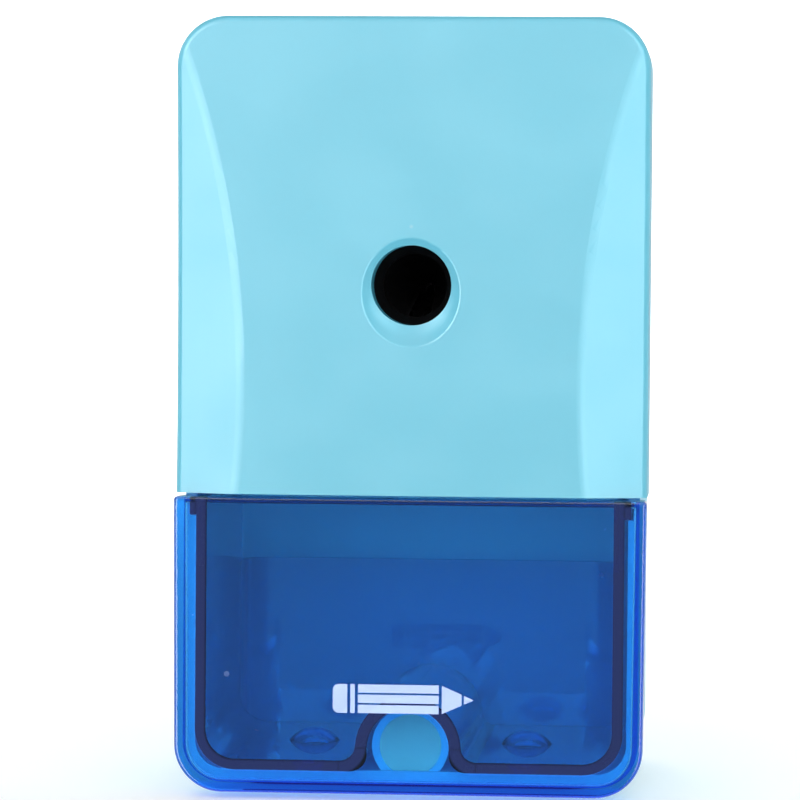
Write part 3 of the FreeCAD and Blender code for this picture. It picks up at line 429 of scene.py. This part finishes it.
def pencil_sign():
    """A plain pencil pictogram, inked just under the skin of the drawer's front face."""
    low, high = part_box("drawer")
    middle_x, middle_z = (low.x + high.x) / 2 - 0.6 * MM, low.z + 12.6 * MM
    tall = 1.9
    shapes = [
        arc(-8.4, tall - 0.8, 0.8, 90, 180) + arc(-8.4, 0.8 - tall, 0.8, 180, 270)
        + [(-7.3, -tall), (-7.3, tall)],
        [(-6.9, tall), (-6.9, -tall), (-6.3, -tall), (-6.3, tall)],
        [(5.1, 1.85), (5.1, -1.85), (7.7, -0.72), (7.7, 0.72)],
        [(8.0, 0.58), (8.0, -0.58), (9.3, 0.0)],
    ]
    for z in (-1.34, 0.0, 1.34):
        shapes.append([(-5.9, z + 0.55), (-5.9, z - 0.55), (4.7, z - 0.55), (4.7, z + 0.55)])
    points, faces = [], []
    for outline in shapes:
        placed = [(middle_x + x * MM, middle_z + z * MM) for x, z in outline]
        more_points, more_faces = slab(placed, low.y + 0.04 * MM, low.y + 0.07 * MM)
        faces += [tuple(k + len(points) for k in face) for face in more_faces]
        points += more_points
    mesh = bpy.data.meshes.new("pencil_sign")
    mesh.from_pydata(points, [], faces)
    mesh.materials.append(ink)
    sign = bpy.data.objects.new("pencil_sign", mesh)
    scene.collection.objects.link(sign)
    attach(sign, "drawer")


pencil_sign()


# ---------------------------------------------------------------- floor, backdrop, light
def sweep(width, front, back, height, bend):
    """A pale floor that curves up into a backdrop, as one smooth sheet."""
    profile = [(front, 0.0)]
    steps = 24
    for k in range(steps + 1):
        angle = k / steps * math.pi / 2
        profile.append((back - bend + bend * math.sin(angle), bend - bend * math.cos(angle)))
    profile.append((back, height))
    verts = [(x, y, z) for y, z in profile for x in (-width / 2, width / 2)]
    faces = [(2 * k, 2 * k + 1, 2 * k + 3, 2 * k + 2) for k in range(len(profile) - 1)]
    mesh = bpy.data.meshes.new("floor")
    mesh.from_pydata(verts, [], faces)
    mesh.polygons.foreach_set("use_smooth", [True] * len(faces))
    floor = bpy.data.objects.new("floor", mesh)
    scene.collection.objects.link(floor)
    mat, tree, shader, _ = new_material("floor_pale")
    shade = blend(tree, noise(tree, 6.0, 3.0), (0.88, 0.88, 0.88), (0.90, 0.90, 0.90))
    put(tree, shader.inputs["Base Color"], shade)
    shader.inputs["Roughness"].default_value = 0.7
    shader.inputs["Emission Color"].default_value = (1, 1, 1, 1)
    shader.inputs["Emission Strength"].default_value = 0.2
    mesh.materials.append(mat)
    floor.visible_glossy = False
    return floor


def softbox(name, place_at, aim, width, height, power, tint=(1, 1, 1)):
    light = bpy.data.lights.new(name, "AREA")
    light.shape = "RECTANGLE"
    light.size, light.size_y = width, height
    light.energy = power
    light.color = tint
    lamp = bpy.data.objects.new(name, light)
    lamp.location = place_at
    lamp.rotation_mode = "QUATERNION"
    lamp.rotation_quaternion = (Vector(aim) - Vector(place_at)).to_track_quat("-Z", "Y")
    scene.collection.objects.link(lamp)
    return lamp


front_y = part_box("front_cover")[0].y
sweep(4.0, -1.6, 1.4, 2.2, 0.5).location.z = cad_low.z

world = bpy.data.worlds.new("studio")
scene.world = world
world.use_nodes = True
sky = world.node_tree
background = sky.nodes["Background"]
direction = sky.nodes.new("ShaderNodeTexCoord")
parts = sky.nodes.new("ShaderNodeSeparateXYZ")
sky.links.new(direction.outputs["Generated"], parts.inputs["Vector"])

# dark in front and bright to the sides and behind for sheen, dim all round for matt light, white to the camera
dim_front = span(sky, parts.outputs["Y"], -0.99, -0.1, 0.10, 0.85)
rays = sky.nodes.new("ShaderNodeLightPath")
matt = math_node(sky, "MULTIPLY", rays.outputs["Is Diffuse Ray"], -0.85)
dim_front = math_node(sky, "MAXIMUM", math_node(sky, "ADD", dim_front, matt), 0.14)
seen = rays.outputs["Is Camera Ray"]
background.inputs["Color"].default_value = (1, 1, 1, 1)
put(sky, background.inputs["Strength"], math_node(sky, "MAXIMUM", dim_front, seen))

AIM = Vector((0, front_y, 0.055))


def box_at(name, bearing, height, distance, width, tall, radiance):
    """A softbox at a bearing from the front, in degrees to the right, with that radiance."""
    angle = math.radians(bearing)
    level = math.radians(height)
    where = AIM + distance * Vector((math.sin(angle) * math.cos(level), -math.cos(angle) * math.cos(level),
                                     math.sin(level)))
    return softbox(name, where, AIM, width, tall, radiance * math.pi * width * tall)


# the two big boxes only make sheen, the fill only lights
for name, bearing, radiance in (("left_box", -34.0, 7.0), ("right_box", 30.0, 5.0)):
    box_at(name, bearing, 4.0, 0.80, 0.50, 0.90, radiance).visible_diffuse = False
box_at("front_fill", 2.0, 12.0, 0.90, 0.60, 0.60, 3.1).visible_glossy = False
box_at("top_box", 0.0, 58.0, 0.80, 0.90, 0.50, 1.7)
box_at("left_rim", -105.0, 15.0, 0.80, 0.50, 0.90, 0.9)
box_at("right_rim", 105.0, 15.0, 0.80, 0.50, 0.90, 0.9)
softbox("back_box", (0.0, 1.0, 0.9), (0, 1.4, 0.3), 2.0, 0.6, 22.0)

# ---------------------------------------------------------------- camera
PIXELS = 800
PER_MM = 7.665              # pixels per millimetre at the front plane
AZIMUTH, LIFT, ROLL = 4.5, 1.78, 0.47
DISTANCE = 0.550
target = Vector((-1.29 * MM, front_y, 52.55 * MM))
azimuth, lift = math.radians(AZIMUTH), math.radians(LIFT)
back = Vector((math.sin(azimuth) * math.cos(lift), -math.cos(azimuth) * math.cos(lift), math.sin(lift)))
lens = bpy.data.cameras.new("camera")
lens.sensor_width = 36.0
lens.lens = 36.0 * PER_MM / MM * DISTANCE / PIXELS
lens.clip_start, lens.clip_end = 0.05, 20.0
camera = bpy.data.objects.new("camera", lens)
camera.location = target + back * DISTANCE
camera.rotation_mode = "QUATERNION"
camera.rotation_quaternion = (-back).to_track_quat("-Z", "Y")
scene.collection.objects.link(camera)
scene.camera = camera
camera.rotation_quaternion = camera.rotation_quaternion @ Quaternion((0, 0, 1), math.radians(ROLL))

scene.view_settings.view_transform = "Standard"
